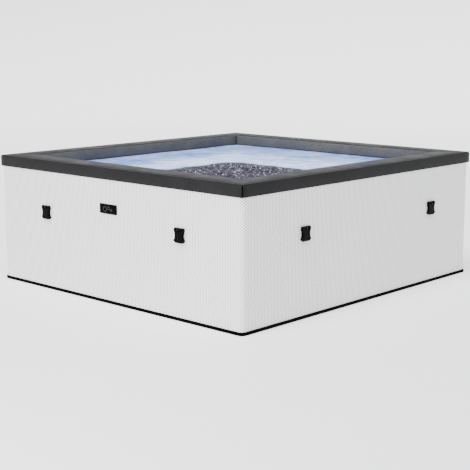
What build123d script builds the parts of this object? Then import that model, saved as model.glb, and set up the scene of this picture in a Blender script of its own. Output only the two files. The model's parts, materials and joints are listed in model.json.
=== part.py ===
"""Square foam-walled hot tub with a woven outer cladding, a padded rim and a welded liner.

The frame is in millimetres: +Z is up, X runs along the front, -Y is the front, and the origin
is the middle of the underside of the base mat, on the ground.
"""
import os

from build123d import *

os.makedirs("parts", exist_ok=True)

# Overall sizes
RIM_HALF = (900.0, 946.0)       # outside of the rim, from the middle, along X and Y
HEIGHT = 690.0
RIM_WIDTH = 149.0
RIM_HEIGHT = 60.0
RIM_OVERHANG = 4.5              # rim past the cladding
MAT_OVERHANG = 6.0              # base mat past the cladding
MAT_HEIGHT = 16.0
WALL_THICKNESS = 132.5          # foam alone
FLOOR_THICKNESS = 40.0
CLADDING = 2.0
LINER = 1.5
STRIP = 2.0                     # one half of the hook and loop that holds the rim
FOAM_GAP = 0.2                  # between foam and the skin over it

# Radii
CLADDING_RADIUS = 22.5
MAT_RADIUS = 26.0
MAT_EDGE = 4.0
LINER_RADIUS = 40.0             # upright corners
LINER_FLOOR_RADIUS = 25.0
RIM_EDGE = 10.0
RIM_SKIN = 2.0
PIPING_RADIUS = 4.0

# Levels
RIM_BOTTOM = HEIGHT - RIM_HEIGHT
LINER_TOP = RIM_BOTTOM - 2 * STRIP
WALL_TOP = LINER_TOP - LINER
FLOOR_TOP = MAT_HEIGHT + FLOOR_THICKNESS
LINER_FLOOR = FLOOR_TOP + LINER

# Half sizes along X and Y that follow from those above
FACE_HALF = tuple(half - RIM_OVERHANG for half in RIM_HALF)
MAT_HALF = tuple(half + MAT_OVERHANG for half in FACE_HALF)
FOAM_HALF = tuple(half - CLADDING - FOAM_GAP for half in FACE_HALF)
HOLLOW_HALF = tuple(half - WALL_THICKNESS for half in FOAM_HALF)
BAG_HALF = tuple(half - FOAM_GAP for half in HOLLOW_HALF)
ROOM_HALF = tuple(half - LINER for half in BAG_HALF)

# Buckles that lock the cover down: middle of each, from the middle of its side
FRONT_BUCKLES = (-503.0, 503.0)
SIDE_BUCKLES = (-507.0, 561.0)  # on the right; the left side has the same, turned round
PIVOT_Z = 446.0
PIVOT_OFF = 8.5                 # web bar's axis from the cladding
BUCKLE_BACK = 3.0               # back of the buckle from the cladding
BUCKLE_DEPTH = 12.0
BUCKLE_LENGTH = 67.0            # below the web bar's axis
BAR_RADIUS = 3.0
WEB_HALF_WIDTH = 20.0
WEB_WINDOW = 21.0               # half width of the window round the web bar
WEB_WINDOW_DEPTH = 9.5
WEB_CLEARANCE = 0.3
WEB_THICKNESS = 1.2
WEB_PATCH = (-18.0, 3.0)        # bottom and top of the sewn patch, from the web bar
MOUTH_HALF_WIDTH = 19.0
MOUTH_GAP = 7.0
MOUTH_DEPTH = 43.0
SIDE_WINDOW = (-50.0, -26.0)    # heights of the release windows, from the web bar

# Badge on the front
BADGE = (129.0, 50.0, 3.0)
BADGE_MIDDLE = (-8.5, 484.0)
EMBLEM_RINGS = ((-24.0, -2.0, 13.0), (4.0, 4.0, 9.0), (24.0, -4.0, 6.0))
EMBLEM_LINE = 2.2
EMBLEM_RAISE = 0.8

# Service ports through the back wall: x, z, and the radii of bore, barrel, spigot and flange
SUCTION = dict(x=190.0, z=215.0, bore=20.0, barrel=30.0, spigot=28.0, flange=66.0)
RETURN = dict(x=-70.0, z=215.0, bore=23.5, barrel=30.0, spigot=28.0, flange=48.0)
AIR = dict(x=-330.0, z=520.0, bore=15.5, barrel=21.0, spigot=19.0, flange=34.0)
DRAIN = dict(x=-600.0, z=118.0, bore=12.0, barrel=17.0, spigot=15.0, flange=30.0)
PORT_HOLE_GAP = 0.6             # round each barrel where it goes through the wall
FLANGE_THICKNESS = 6.0
GASKET = 2.0
NUT_HEIGHT = 14.0
NUT_WALL = 12.0
NUT_GRIPS = 12
SPIGOT_LENGTH = 40.0
DRAIN_SPIGOT_LENGTH = 20.0

# Filter on the suction port, inside the tub
FILTER_SPIGOT = (24.0, 20.0)    # radius and length of the stub that the filter sits on
FILTER_GAP = 0.3
END_CAP = (59.8, 10.0)          # radius and thickness
END_CAP_LIP = (63.0, 3.0)
CARTRIDGE_RADII = (26.0, 46.0, 55.0)   # core bore, pleat roots, pleat tips
CARTRIDGE_LENGTH = 84.0
PLEATS = 36
COVER_WALL = 3.0
COVER_SLOTS = 16
COVER_SLOT = (8.0, 64.0)        # width and length
COVER_SLOT_START = 10.0

# Bubble channel on the floor, and the riser that feeds it
CHANNEL_INSET = 45.0
CHANNEL_WIDTH = 60.0
CHANNEL_HEIGHT = 18.0
CHANNEL_RADIUS = 70.0
CHANNEL_EDGE = 8.0
CHANNEL_SKIN = 1.5
BUBBLE_HOLE = 2.0
BUBBLE_PITCH = 95.0
RISER_WIDTH = 90.0
RISER_DEPTH = 24.0
RISER_TOP = 575.0

# Zip at the back of the cladding
ZIP_X = -845.0
ZIP_Z = (24.0, 626.0)
ZIP_TAPE = (3.5, 16.0, 0.8)     # inner edge, outer edge, thickness
TOOTH = (6.2, 1.2, 2.0)         # reach behind the middle, past the middle, and height
TOOTH_PITCH = 6.0
TEETH_Z = (40.0, 612.0)
TOOTH_DEPTH = 2.0
SLIDER = (17.0, 24.0, 2.5)      # width, height, plate thickness
SLIDER_Z = 56.0
SLIDER_WALL = 1.7
PULL_PIN = 1.2
PULL_OFF = 9.5                  # pull's axis from the cladding
PULL = (9.0, 34.0, 2.0)         # width, length, thickness

SIDES = ("front", "right", "back", "left")


def export(node, *solids):
    """Write one node's STEP file; several solids make a group of separate pieces."""
    pieces = [solid for shape in solids for solid in shape.solids()]
    shape = pieces[0] if len(pieces) == 1 else Compound(children=pieces)
    shape.label = node
    export_step(shape, f"parts/{node}.step")


def slab(half, radius, low, high):
    """Upright prism with rounded corners, from its half sizes and its two levels."""
    outline = RectangleRounded(2 * half[0], 2 * half[1], radius)
    return Pos(0, 0, low) * extrude(outline, high - low)


def block(low, high):
    """Box between two opposite corners."""
    size = [b - a for a, b in zip(low, high)]
    return Pos(*low) * Box(*size, align=(Align.MIN, Align.MIN, Align.MIN))


def rod(place, radius, start, end):
    """Round bar along Y at the place's x and z, between two values of y."""
    bar = Cylinder(radius, end - start, align=(Align.CENTER, Align.CENTER, Align.MIN))
    return Pos(place["x"], start, place["z"]) * Rot(-90, 0, 0) * bar


def tube(place, bore, radius, start, end):
    """Round tube along Y."""
    return rod(place, radius, start, end) - rod(place, bore, start - 1, end + 1)


def mitred(solid, side, half):
    """The part of a square ring that belongs to one side, cut at 45 degrees at both ends."""
    reach = 3 * RIM_WIDTH
    along, across = half if side in ("front", "back") else half[::-1]
    corners = [(-along, -across), (along, -across), (along - reach, -across + reach),
               (-along + reach, -across + reach)]
    turn = {"front": 0, "right": 90, "back": 180, "left": -90}[side]
    outline = make_face(Polyline(*corners, close=True))
    return solid & Rot(0, 0, turn) * extrude(outline, HEIGHT + 1)


def on_side(side, along, piece):
    """Move a piece made on the front cladding at x = 0 to a side, in the same way up."""
    face_x, face_y = FACE_HALF
    place = {
        "front": Pos(along, -face_y, 0),
        "right": Pos(face_x, along, 0) * Rot(0, 0, 90),
        "back": Pos(along, face_y, 0) * Rot(0, 0, 180),
        "left": Pos(-face_x, along, 0) * Rot(0, 0, -90),
    }[side]
    return place * piece


def port_holes(start, end):
    """Clearance holes for every barrel, through one layer of the back wall."""
    ports = (SUCTION, RETURN, AIR, DRAIN)
    return [rod(port, port["barrel"] + PORT_HOLE_GAP, start, end) for port in ports]


def make_base_and_floor():
    """Ground mat under everything, and the foam floor inside the walls."""
    mat = slab(MAT_HALF, MAT_RADIUS, 0, MAT_HEIGHT)
    mat = fillet(mat.edges().group_by(Axis.Z)[-1], MAT_EDGE)
    export("base_mat", mat)
    floor_half = tuple(half - FOAM_GAP for half in HOLLOW_HALF)
    export("floor_panel", slab(floor_half, LINER_RADIUS + LINER, MAT_HEIGHT, FLOOR_TOP))


def make_walls():
    """Four foam walls, mitred together, inside one loop of woven cladding."""
    core_radius = CLADDING_RADIUS - CLADDING - FOAM_GAP
    ring = slab(FOAM_HALF, core_radius, MAT_HEIGHT, WALL_TOP)
    ring -= slab(HOLLOW_HALF, LINER_RADIUS + LINER, 0, HEIGHT)
    holes = port_holes(HOLLOW_HALF[1] - 20, FOAM_HALF[1] + 20)
    for side in SIDES:
        core = mitred(ring, side, FOAM_HALF)
        export(f"wall_core_{side}", core - holes if side == "back" else core)

    inner_half = tuple(half - CLADDING for half in FACE_HALF)
    wrap = slab(FACE_HALF, CLADDING_RADIUS, MAT_HEIGHT, RIM_BOTTOM)
    wrap -= slab(inner_half, CLADDING_RADIUS - CLADDING, 0, HEIGHT)
    export("outer_wrap", wrap - port_holes(FACE_HALF[1] - 20, FACE_HALF[1] + 20))


def make_room():
    """The water's space inside the liner, as a solid."""
    room = slab(ROOM_HALF, LINER_RADIUS, LINER_FLOOR, HEIGHT)
    return fillet(room.edges().group_by(Axis.Z)[0], LINER_FLOOR_RADIUS)


def make_liner(room):
    """One welded bag: floor, walls, and a flange that covers the tops of the foam walls."""
    bag = slab(BAG_HALF, LINER_RADIUS + LINER, FLOOR_TOP, LINER_TOP)
    bag = fillet(bag.edges().group_by(Axis.Z)[0], LINER_FLOOR_RADIUS + LINER)
    bag += slab(FOAM_HALF, CLADDING_RADIUS - CLADDING, WALL_TOP, LINER_TOP)
    bag -= room
    export("liner", bag - port_holes(ROOM_HALF[1] - 20, BAG_HALF[1] + 20))


def rim_bar(side, width, height, edge):
    """Full-length bar of the rim's section along one side, before it is mitred."""
    along, across = RIM_HALF if side in ("front", "back") else RIM_HALF[::-1]
    section = Plane.YZ * RectangleRounded(width, height, edge)
    middle = Pos(-along, -across + RIM_WIDTH / 2, RIM_BOTTOM + RIM_HEIGHT / 2)
    turn = {"front": 0, "right": 90, "back": 180, "left": -90}[side]
    return Rot(0, 0, turn) * middle * extrude(section, 2 * along, dir=(1, 0, 0))


def make_rim():
    """Four padded bars, a skin over foam, mitred at the corners and piped at each corner."""
    inset = PIPING_RADIUS - 0.5
    middle = RIM_BOTTOM + RIM_HEIGHT / 2
    length = RIM_HEIGHT - RIM_EDGE
    piping, notches = [], []
    for x in (-1, 1):
        for y in (-1, 1):
            centre = Pos(x * (RIM_HALF[0] - inset), y * (RIM_HALF[1] - inset), middle)
            cord = centre * Cylinder(PIPING_RADIUS, length)
            piping.append(cord)
            reach = 2 * PIPING_RADIUS
            notches.append(cord + centre * Pos(x * reach / 2, y * reach / 2) * Box(reach, reach, length))
    skin = 2 * RIM_SKIN
    for side in SIDES:
        outside = rim_bar(side, RIM_WIDTH, RIM_HEIGHT, RIM_EDGE)
        inside = rim_bar(side, RIM_WIDTH - skin, RIM_HEIGHT - skin, RIM_EDGE - RIM_SKIN)
        slack = skin + 2 * FOAM_GAP
        filling = rim_bar(side, RIM_WIDTH - slack, RIM_HEIGHT - slack, RIM_EDGE - RIM_SKIN)
        export(f"rim_cover_{side}", mitred(outside - inside, side, RIM_HALF) - notches)
        export(f"rim_core_{side}", mitred(filling, side, RIM_HALF) - notches)
    export("rim_corner_piping", *piping)


def make_rim_strips():
    """Hook strips on the liner's flange and loop strips under the rim, one a side."""
    half_width = 25.0
    for node, low in (("hook_strips", LINER_TOP), ("loop_strips", LINER_TOP + STRIP)):
        strips = []
        for side in SIDES:
            along, across = RIM_HALF if side in ("front", "back") else RIM_HALF[::-1]
            middle = across - RIM_WIDTH / 2
            turn = {"front": 0, "right": 90, "back": 180, "left": -90}[side]
            ends = along - RIM_WIDTH - half_width
            strip = block((-ends, -middle - half_width, low),
                          (ends, -middle + half_width, low + STRIP))
            strips.append(Rot(0, 0, turn) * strip)
        export(node, *strips)


def buckle_outline():
    """Front view of the buckle: x across, y up from the web bar's axis."""
    right = [
        Line((0, 6), (24, 6)),
        ThreePointArc((24, 6), (29, 4), (31, -1)),
        Line((31, -1), (32.5, -10)),
        ThreePointArc((32.5, -10), (25.5, -33), (34, -55)),
        ThreePointArc((34, -55), (34, -58), (32, -60)),
        Line((32, -60), (22.5, -BUCKLE_LENGTH)),
        Line((22.5, -BUCKLE_LENGTH), (0, -BUCKLE_LENGTH)),
    ]
    half = Curve() + right
    return make_face(half + mirror(half, Plane.YZ))


def buckle_body():
    """Socket half of a side-release buckle, hanging from its web bar on the front cladding."""
    front = Plane.XZ * buckle_outline()
    body = Pos(0, -BUCKLE_BACK, PIVOT_Z) * extrude(front, BUCKLE_DEPTH, dir=(0, -1, 0))
    body = chamfer(body.faces().sort_by(Axis.Y)[0].outer_wire().edges(), 1.2)

    middle = -BUCKLE_BACK - BUCKLE_DEPTH / 2
    reach = 40.0
    low = PIVOT_Z - BUCKLE_LENGTH
    rounded_top = Pos(0, middle, PIVOT_Z) * Rot(0, 90, 0) * Cylinder(BUCKLE_DEPTH / 2, 2 * reach)
    below_top = block((-reach, middle - BUCKLE_DEPTH, low - 1), (reach, 0, PIVOT_Z))
    body &= rounded_top + below_top

    window_low = PIVOT_Z - WEB_WINDOW_DEPTH
    body -= block((-WEB_WINDOW, -reach, window_low), (WEB_WINDOW, 0, PIVOT_Z + reach))
    mouth = (middle - MOUTH_GAP / 2, middle + MOUTH_GAP / 2)
    body -= block((-MOUTH_HALF_WIDTH, mouth[0], low - 1), (MOUTH_HALF_WIDTH, mouth[1], low + MOUTH_DEPTH))
    window = [PIVOT_Z + z for z in SIDE_WINDOW]
    body -= block((-reach, mouth[0], window[0]), (reach, mouth[1], window[1]))

    bar = Rot(0, 90, 0) * Cylinder(BAR_RADIUS, 2 * WEB_WINDOW + 2)
    return body + Pos(0, -PIVOT_OFF, PIVOT_Z) * bar


def buckle_tab():
    """Webbing that comes out of a patch on the cladding, goes round the web bar and back in."""
    inner = BAR_RADIUS + WEB_CLEARANCE
    width = 2 * WEB_HALF_WIDTH
    loop = Cylinder(inner + WEB_THICKNESS, width) - Cylinder(inner, width + 1)
    loop = Pos(0, -PIVOT_OFF, PIVOT_Z) * Rot(0, 90, 0) * loop
    near = -PIVOT_OFF + inner + WEB_THICKNESS / 2
    neck = block((-WEB_HALF_WIDTH, near, PIVOT_Z - WEB_THICKNESS),
                 (WEB_HALF_WIDTH, 0, PIVOT_Z + WEB_THICKNESS))
    patch = block((-WEB_HALF_WIDTH, -WEB_THICKNESS, PIVOT_Z + WEB_PATCH[0]),
                  (WEB_HALF_WIDTH, 0, PIVOT_Z + WEB_PATCH[1]))
    return loop + neck + patch


def make_buckles():
    """Two buckles a side, each in a node of its own, and their webbing as one group."""
    places = {
        "buckle_front_left": ("front", FRONT_BUCKLES[0]),
        "buckle_front_right": ("front", FRONT_BUCKLES[1]),
        "buckle_right_front": ("right", SIDE_BUCKLES[0]),
        "buckle_right_back": ("right", SIDE_BUCKLES[1]),
        "buckle_back_right": ("back", -FRONT_BUCKLES[0]),
        "buckle_back_left": ("back", -FRONT_BUCKLES[1]),
        "buckle_left_back": ("left", -SIDE_BUCKLES[0]),
        "buckle_left_front": ("left", -SIDE_BUCKLES[1]),
    }
    body = buckle_body()
    tab = buckle_tab()
    for node, (side, along) in places.items():
        export(node, on_side(side, along, body))
    export("buckle_tabs", *[on_side(side, along, tab) for side, along in places.values()])


def make_badge():
    """Plain rubber badge on the front with three raised rings, like bubbles."""
    width, height, depth = BADGE
    x, z = BADGE_MIDDLE
    plate = extrude(Plane.XZ * RectangleRounded(width, height, 6), depth, dir=(0, -1, 0))
    plate = Pos(x, -FACE_HALF[1], z) * plate
    export("badge_plate", chamfer(plate.faces().sort_by(Axis.Y)[0].outer_wire().edges(), 0.8))
    front = -FACE_HALF[1] - depth
    rings = []
    for ring_x, ring_z, radius in EMBLEM_RINGS:
        place = dict(x=x + ring_x, z=z + ring_z)
        rings.append(tube(place, radius - EMBLEM_LINE, radius, front - EMBLEM_RAISE, front))
    export("badge_emblem", *rings)


def make_port(port, spigot_length, inner_stub=0.0):
    """One wall fitting: flange inside the tub, barrel through the wall, spigot outside."""
    flange_face = ROOM_HALF[1] - GASKET
    nut_face = FACE_HALF[1] + NUT_HEIGHT
    body = rod(port, port["flange"], flange_face - FLANGE_THICKNESS, flange_face)
    body += rod(port, port["barrel"], flange_face, nut_face)
    body += rod(port, port["spigot"], nut_face, nut_face + spigot_length)
    if inner_stub:
        stub_end = flange_face - FLANGE_THICKNESS - inner_stub
        body += rod(port, FILTER_SPIGOT[0], stub_end, flange_face)
    return body - rod(port, port["bore"], 0, nut_face + spigot_length + 1)


def lock_nut(port):
    """Ring nut that draws the flange against the liner, with grips round its edge."""
    start = FACE_HALF[1]
    outer = port["barrel"] + NUT_WALL
    nut = tube(port, port["barrel"] + FOAM_GAP, outer, start, start + NUT_HEIGHT)
    grip = Cylinder(2.5, NUT_HEIGHT + 2, align=(Align.CENTER, Align.CENTER, Align.MIN))
    centre = Pos(port["x"], start - 1, port["z"]) * Rot(-90, 0, 0)
    return nut - [centre * place * grip for place in PolarLocations(outer, NUT_GRIPS)]


def make_ports():
    """Suction, return and air fittings with their gaskets and nuts, and the drain valve."""
    export("suction_port", make_port(SUCTION, SPIGOT_LENGTH, inner_stub=FILTER_SPIGOT[1]))
    export("return_port", make_port(RETURN, SPIGOT_LENGTH))
    export("air_port", make_port(AIR, SPIGOT_LENGTH))
    export("drain_valve", make_port(DRAIN, DRAIN_SPIGOT_LENGTH))
    ports = (SUCTION, RETURN, AIR, DRAIN)
    wall = ROOM_HALF[1]
    gaskets = [
        tube(port, port["barrel"] + PORT_HOLE_GAP, port["flange"] - 1, wall - GASKET, wall)
        for port in ports
    ]
    export("port_gaskets", *gaskets)
    export("port_lock_nuts", *[lock_nut(port) for port in ports])


def make_drain_cap():
    """Cap that pulls off the drain's spigot, with its sealing disc inside."""
    clearance = 0.4
    seal = 2.0
    start = FACE_HALF[1] + NUT_HEIGHT + clearance
    spigot_end = FACE_HALF[1] + NUT_HEIGHT + DRAIN_SPIGOT_LENGTH
    hollow = DRAIN["spigot"] + clearance
    seal_start = spigot_end + clearance
    cap = rod(DRAIN, hollow + 5, start, seal_start + seal + 4)
    cap -= rod(DRAIN, hollow, start - 1, seal_start + seal)
    rib = Cylinder(1.5, 20, align=(Align.CENTER, Align.CENTER, Align.MIN))
    centre = Pos(DRAIN["x"], start, DRAIN["z"]) * Rot(-90, 0, 0)
    cap += [centre * place * rib for place in PolarLocations(hollow + 5, 16)]
    export("drain_cap", cap)
    export("drain_cap_seal", rod(DRAIN, hollow - FOAM_GAP, seal_start, seal_start + seal))


def pleated_core():
    """Pleated paper of the filter: a star-shaped tube, drawn round the suction port's axis."""
    bore, root, tip = CARTRIDGE_RADII
    step = 360 / PLEATS
    points = []
    for pleat in range(PLEATS):
        points.append(Vector(tip, 0).rotate(Axis.Z, pleat * step))
        points.append(Vector(root, 0).rotate(Axis.Z, (pleat + 0.5) * step))
    star = extrude(make_face(Polyline(*points, close=True)), CARTRIDGE_LENGTH)
    return star - Cylinder(bore, CARTRIDGE_LENGTH, align=(Align.CENTER, Align.CENTER, Align.MIN))


def make_filter():
    """Cartridge, end cap and slotted cover, which come off the suction port together."""
    flange_face = ROOM_HALF[1] - GASKET - FLANGE_THICKNESS
    seat = flange_face - FILTER_GAP
    cap_radius, cap_thickness = END_CAP
    lip_radius, lip_thickness = END_CAP_LIP
    cap_start = seat - cap_thickness
    end_cap = rod(SUCTION, cap_radius, cap_start, seat)
    end_cap += rod(SUCTION, lip_radius, seat - lip_thickness, seat)
    end_cap -= rod(SUCTION, FILTER_SPIGOT[0] + FILTER_GAP, cap_start - 1, seat + 1)
    export("filter_end_cap", end_cap)

    far_end = cap_start - CARTRIDGE_LENGTH
    export("filter_cartridge", Pos(SUCTION["x"], far_end, SUCTION["z"]) * Rot(-90, 0, 0) * pleated_core())

    cover = rod(SUCTION, lip_radius, far_end - COVER_WALL, seat - lip_thickness)
    cover -= rod(SUCTION, lip_radius - COVER_WALL, far_end, seat)
    slot_width, slot_length = COVER_SLOT
    slot_low = (-2 * COVER_WALL, -slot_width / 2, COVER_SLOT_START)
    slot = block(slot_low, (2 * COVER_WALL, slot_width / 2, COVER_SLOT_START + slot_length))
    centre = Pos(SUCTION["x"], far_end, SUCTION["z"]) * Rot(-90, 0, 0)
    cover -= [centre * place * slot for place in PolarLocations(lip_radius, COVER_SLOTS)]
    export("filter_cover", cover)


def channel_slab(inset, low, high, edge):
    """Solid of the bubble channel's outline, inset by a little, with rounded top edges."""
    outer = tuple(half - CHANNEL_INSET - inset for half in ROOM_HALF)
    inner = tuple(half - CHANNEL_WIDTH + 2 * inset for half in outer)
    ring = slab(outer, CHANNEL_RADIUS - inset, low, high)
    ring -= slab(inner, CHANNEL_RADIUS - CHANNEL_WIDTH + inset, low - 1, high + 1)
    return fillet(ring.edges().group_by(Axis.Z)[-1], edge)


def bubble_holes():
    """Pins for the air holes along the middle of the channel's four straight runs."""
    line = [half - CHANNEL_INSET - CHANNEL_WIDTH / 2 for half in ROOM_HALF]
    pins = []
    for axis in (0, 1):
        run = line[axis] - CHANNEL_RADIUS
        count = int(2 * run / BUBBLE_PITCH)
        for sign in (-1, 1):
            for index in range(count + 1):
                spot = [0.0, 0.0]
                spot[axis] = -run + 2 * run * index / count
                spot[1 - axis] = sign * line[1 - axis]
                pins.append(Pos(*spot, LINER_FLOOR + CHANNEL_HEIGHT) * Cylinder(BUBBLE_HOLE, 8))
    return pins


def make_air(room):
    """Bubble channel round the floor and the riser that brings air down to it."""
    top = LINER_FLOOR + CHANNEL_HEIGHT
    channel = channel_slab(0, LINER_FLOOR, top, CHANNEL_EDGE)
    channel -= channel_slab(CHANNEL_SKIN, LINER_FLOOR, top - CHANNEL_SKIN, CHANNEL_EDGE - CHANNEL_SKIN)

    wall = ROOM_HALF[1]
    half = RISER_WIDTH / 2
    foot = wall - CHANNEL_INSET
    riser = block((AIR["x"] - half, wall - RISER_DEPTH, LINER_FLOOR), (AIR["x"] + half, wall + 1, RISER_TOP))
    riser += block((AIR["x"] - half, foot, LINER_FLOOR), (AIR["x"] + half, wall, top))
    skin = CHANNEL_SKIN
    hollow = block((AIR["x"] - half + skin, wall - RISER_DEPTH + skin, LINER_FLOOR),
                   (AIR["x"] + half - skin, wall + 1, RISER_TOP - skin))
    hollow += block((AIR["x"] - half + skin, foot - 1, LINER_FLOOR),
                    (AIR["x"] + half - skin, wall, top - skin))
    export("air_riser", (riser - hollow) & room)

    inlet = block((AIR["x"] - half + skin, foot - 2 * skin, LINER_FLOOR),
                  (AIR["x"] + half - skin, foot + 1, top - CHANNEL_EDGE))
    export("bubble_channel", channel - inlet - bubble_holes())


def make_zip():
    """Upright zip in the back of the cladding, by which the foam walls go in."""
    face = FACE_HALF[1]
    inner, outer, thickness = ZIP_TAPE
    tapes = [
        block((ZIP_X + low, face, ZIP_Z[0]), (ZIP_X + high, face + thickness, ZIP_Z[1]))
        for low, high in ((-outer, -inner), (inner, outer))
    ]
    export("zip_tape", *tapes)

    behind, past, tall = TOOTH
    start = face + thickness
    teeth = []
    for index in range(int((TEETH_Z[1] - TEETH_Z[0]) / TOOTH_PITCH)):
        for reach, lift in (((-behind, past), 0), ((-past, behind), TOOTH_PITCH / 2)):
            low = TEETH_Z[0] + index * TOOTH_PITCH + lift
            teeth.append(block((ZIP_X + reach[0], start, low),
                               (ZIP_X + reach[1], start + TOOTH_DEPTH, low + tall)))
    export("zip_teeth", *teeth)

    width, height, plate = SLIDER
    clearance = 0.5
    plate_start = start + TOOTH_DEPTH + clearance
    low, high = SLIDER_Z - height / 2, SLIDER_Z + height / 2
    slider = block((ZIP_X - width / 2, plate_start, low), (ZIP_X + width / 2, plate_start + plate, high))
    for side in (-1, 1):
        edge = ZIP_X + side * (width - SLIDER_WALL) / 2
        slider += block((edge - SLIDER_WALL / 2, start + clearance, low),
                        (edge + SLIDER_WALL / 2, plate_start + 0.1, high))
    ear_low, ear_high = SLIDER_Z - 3, SLIDER_Z + 3
    for side in (-1, 1):
        ear = ZIP_X + side * (PULL[0] / 2 + 1.5)
        slider += block((ear - 1, plate_start, ear_low), (ear + 1, face + PULL_OFF + 2.5, ear_high))
    pin = Rot(0, 90, 0) * Cylinder(PULL_PIN, PULL[0] + 4)
    slider += Pos(ZIP_X, face + PULL_OFF, SLIDER_Z) * pin
    export("zip_slider", slider)

    pull_width, pull_length, pull_thickness = PULL
    eye = 3.0
    pull = Rot(0, 90, 0) * Cylinder(eye, pull_width)
    pull += Pos(0, 0, -pull_length / 2) * Box(pull_width, pull_thickness, pull_length)
    pull -= Rot(0, 90, 0) * Cylinder(PULL_PIN + WEB_CLEARANCE, pull_width + 2)
    pull -= Pos(0, 0, -pull_length + 9) * Rot(90, 0, 0) * Cylinder(2.5, 6)
    export("zip_pull", Pos(ZIP_X, face + PULL_OFF, SLIDER_Z) * pull)


def main():
    """Make every node."""
    make_base_and_floor()
    make_walls()
    room = make_room()
    make_liner(room)
    make_rim()
    make_rim_strips()
    make_buckles()
    make_badge()
    make_ports()
    make_drain_cap()
    make_filter()
    make_air(room)
    make_zip()


main()
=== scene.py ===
"""Looks for the square soft hot tub: woven cladding, padded rim, water, small trim and the studio."""
import json
import math
import random

import bmesh
import bpy
from bpy.props import FloatProperty, FloatVectorProperty, IntProperty, PointerProperty
from mathutils import Matrix, Vector


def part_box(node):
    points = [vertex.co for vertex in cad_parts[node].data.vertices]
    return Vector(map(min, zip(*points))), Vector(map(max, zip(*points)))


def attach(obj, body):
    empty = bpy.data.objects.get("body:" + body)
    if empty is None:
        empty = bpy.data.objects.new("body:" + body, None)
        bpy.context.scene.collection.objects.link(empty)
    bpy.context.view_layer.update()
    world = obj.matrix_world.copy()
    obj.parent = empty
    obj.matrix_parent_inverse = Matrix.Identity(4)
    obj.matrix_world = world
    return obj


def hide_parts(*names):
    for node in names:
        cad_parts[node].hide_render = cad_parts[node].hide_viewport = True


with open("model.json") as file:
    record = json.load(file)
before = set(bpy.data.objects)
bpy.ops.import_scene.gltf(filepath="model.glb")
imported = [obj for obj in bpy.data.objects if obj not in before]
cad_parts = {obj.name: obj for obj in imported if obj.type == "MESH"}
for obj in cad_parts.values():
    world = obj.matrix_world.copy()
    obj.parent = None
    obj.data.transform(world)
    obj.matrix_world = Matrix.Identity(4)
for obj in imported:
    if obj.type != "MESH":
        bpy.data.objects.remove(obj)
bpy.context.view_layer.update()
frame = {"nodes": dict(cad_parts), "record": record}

bl_info = {
    "name": "Square soft hot tub",
    "version": (1, 0, 0),
    "blender": (4, 5, 0),
    "location": "3D View > Sidebar > Hot tub",
    "description": "Builds the woven, padded and wet parts of a soft hot tub around its packed frame",
    "category": "Object",
}

MM = 0.001
NODES = frame["nodes"]
SLOTS = {part["node"]: part["material_slot"] for part in frame["record"]["subparts"]}
ROOT = "tub"
SIDES = {"front": 0.0, "right": 90.0, "back": 180.0, "left": -90.0}
BUCKLES = sorted(name for name in NODES if name.startswith("buckle_") and name != "buckle_tabs")
# Half of the piping cord in each corner of the rim stands out of the cloth
CORD_INSET = 3.5 * MM
# Power that turns a circle into the stirred patch's near-square outline
SQUARENESS = 9


def linear(text):
    """sRGB hex text as a linear colour with full alpha."""
    parts = [int(text[place:place + 2], 16) / 255 for place in (1, 3, 5)]
    return tuple(((c + 0.055) / 1.055) ** 2.4 if c > 0.04045 else c / 12.92 for c in parts) + (1.0,)


def colour_choice(name, description, text):
    """Colour property that starts from an sRGB hex value."""
    return FloatVectorProperty(name=name, description=description, subtype="COLOR", size=4,
                               min=0.0, max=1.0, default=linear(text))


# ---------------------------------------------------------------- settings

class CladdingSettings(bpy.types.PropertyGroup):
    """Woven cloth round the walls."""
    strand: FloatProperty(name="Strand height", description="Height of one flat woven strand",
                          default=6.25 * MM, unit="LENGTH", min=2 * MM)
    rib: FloatProperty(name="Rib spacing", description="Distance between the upright ribs",
                       default=10 * MM, unit="LENGTH", min=4 * MM)
    relief: FloatProperty(name="Relief", description="How far a strand stands out where it crosses a rib",
                          default=0.9 * MM, unit="LENGTH", min=0.0)
    light: colour_choice("Strand", "Colour of the strands where they cross over a rib", "#F8F8F7")
    # Painted shade: the recess colour stands for the shade where a strand dips under a rib
    shade: colour_choice("Recess", "Colour of the strands where they pass under a rib", "#55575B")


class RimSettings(bpy.types.PropertyGroup):
    """Padded bars round the top."""
    edge: FloatProperty(name="Edge radius", description="Rounding of the bars' long edges",
                        default=6 * MM, unit="LENGTH", min=1 * MM)
    seam: FloatProperty(name="Seam inset", description="Distance of each sewn seam from the bar's edge",
                        default=16 * MM, unit="LENGTH", min=4 * MM)
    crown: FloatProperty(name="Crown", description="How far the foam pushes the top up between the seams",
                         default=3.5 * MM, unit="LENGTH", min=0.0)
    bulge: FloatProperty(name="Bulge", description="How far the foam pushes the upright faces out",
                         default=2.0 * MM, unit="LENGTH", min=0.0)
    stitch: FloatProperty(name="Stitch pitch", description="Distance from one stitch to the next",
                          default=8 * MM, unit="LENGTH", min=2 * MM)
    colour: colour_choice("Leatherette", "Colour of the coated cloth on the rim", "#1B1B1C")
    # Painted light: the inner faces are the same cloth as the rest of the rim, made lighter to stand for the
    # light on them
    inner_painted_light: colour_choice("Facing", "Colour of the lighter cloth that faces the water", "#545352")


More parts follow.
